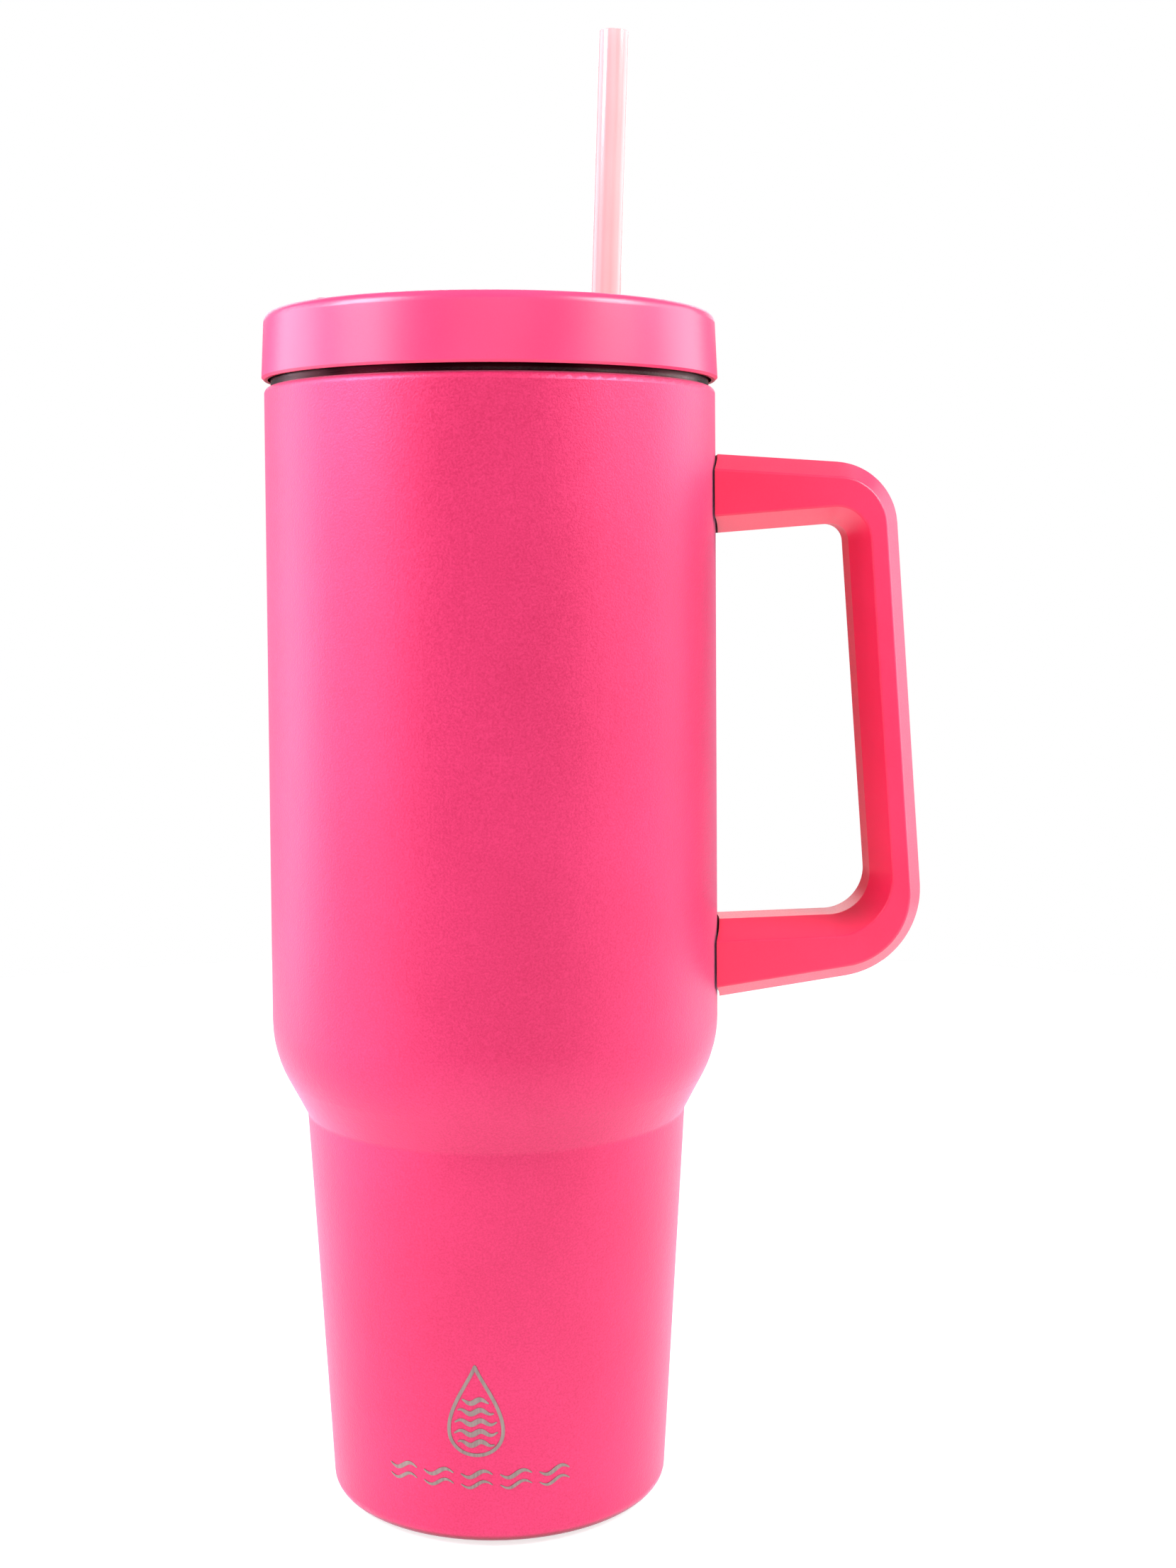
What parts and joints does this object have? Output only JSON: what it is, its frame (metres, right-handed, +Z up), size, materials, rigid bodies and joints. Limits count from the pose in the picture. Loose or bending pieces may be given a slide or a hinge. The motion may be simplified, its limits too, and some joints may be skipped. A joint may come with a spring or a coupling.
{
  "type": "insulated tumbler with lid",
  "caption": "Double-wall steel tumbler with a stepped body, a D handle, a press-in lid with a turning cover, and a straw.",
  "frame": {"origin": "centre of the base, on the surface that the tumbler stands on", "axes": "+Z up along the cup's axis, +X towards the handle, -Y towards the side with the mark"},
  "size_m": [0.1409, 0.0972, 0.3144],
  "materials": {
    "powder_coat": "satin powder coat",
    "bare_steel": "brushed",
    "seal_glass": "fused",
    "pad_rubber": "matte",
    "handle_plastic": "fine satin",
    "screw_steel": "plated",
    "lid_plastic": "semi-gloss",
    "cover_plastic": "semi-gloss",
    "silicone": "translucent silicone",
    "straw_plastic": "translucent"
  },
  "bodies": {
    "cup": {"outer_shell": "powder_coat", "inner_liner": "bare_steel", "outer_bottom": "bare_steel", "vacuum_seal": "seal_glass", "getter": "bare_steel", "getter_clip": "bare_steel", "base_pad": "pad_rubber", "upper_bracket": "bare_steel", "lower_bracket": "bare_steel", "handle": "handle_plastic", "upper_handle_screw": "screw_steel", "lower_handle_screw": "screw_steel"},
    "lid": {"lid_body": "lid_plastic", "lid_gasket": "silicone", "straw_grommet": "silicone", "pivot_pin": "lid_plastic", "pivot_retainer": "screw_steel", "pivot_washer": "silicone"},
    "cover": {"rotating_cover": "cover_plastic", "drink_seal": "silicone"},
    "straw_body": {"straw": "straw_plastic"}
  },
  "joints": [
    {"name": "lid_lift", "type": "slide", "parent": "cup", "child": "lid", "axis": [0, 0, 1], "range_m": [0, 0.26]},
    {"name": "cover_turn", "type": "hinge", "parent": "lid", "child": "cover", "pos_m": [0, 0, 0.2525], "axis": [0, 0, 1], "range_deg": [0, 60]},
    {"name": "straw_slide", "type": "slide", "parent": "lid", "child": "straw_body", "axis": [0.0349, 0, 0.9994], "range_m": [0, 0.24]}
  ]
}
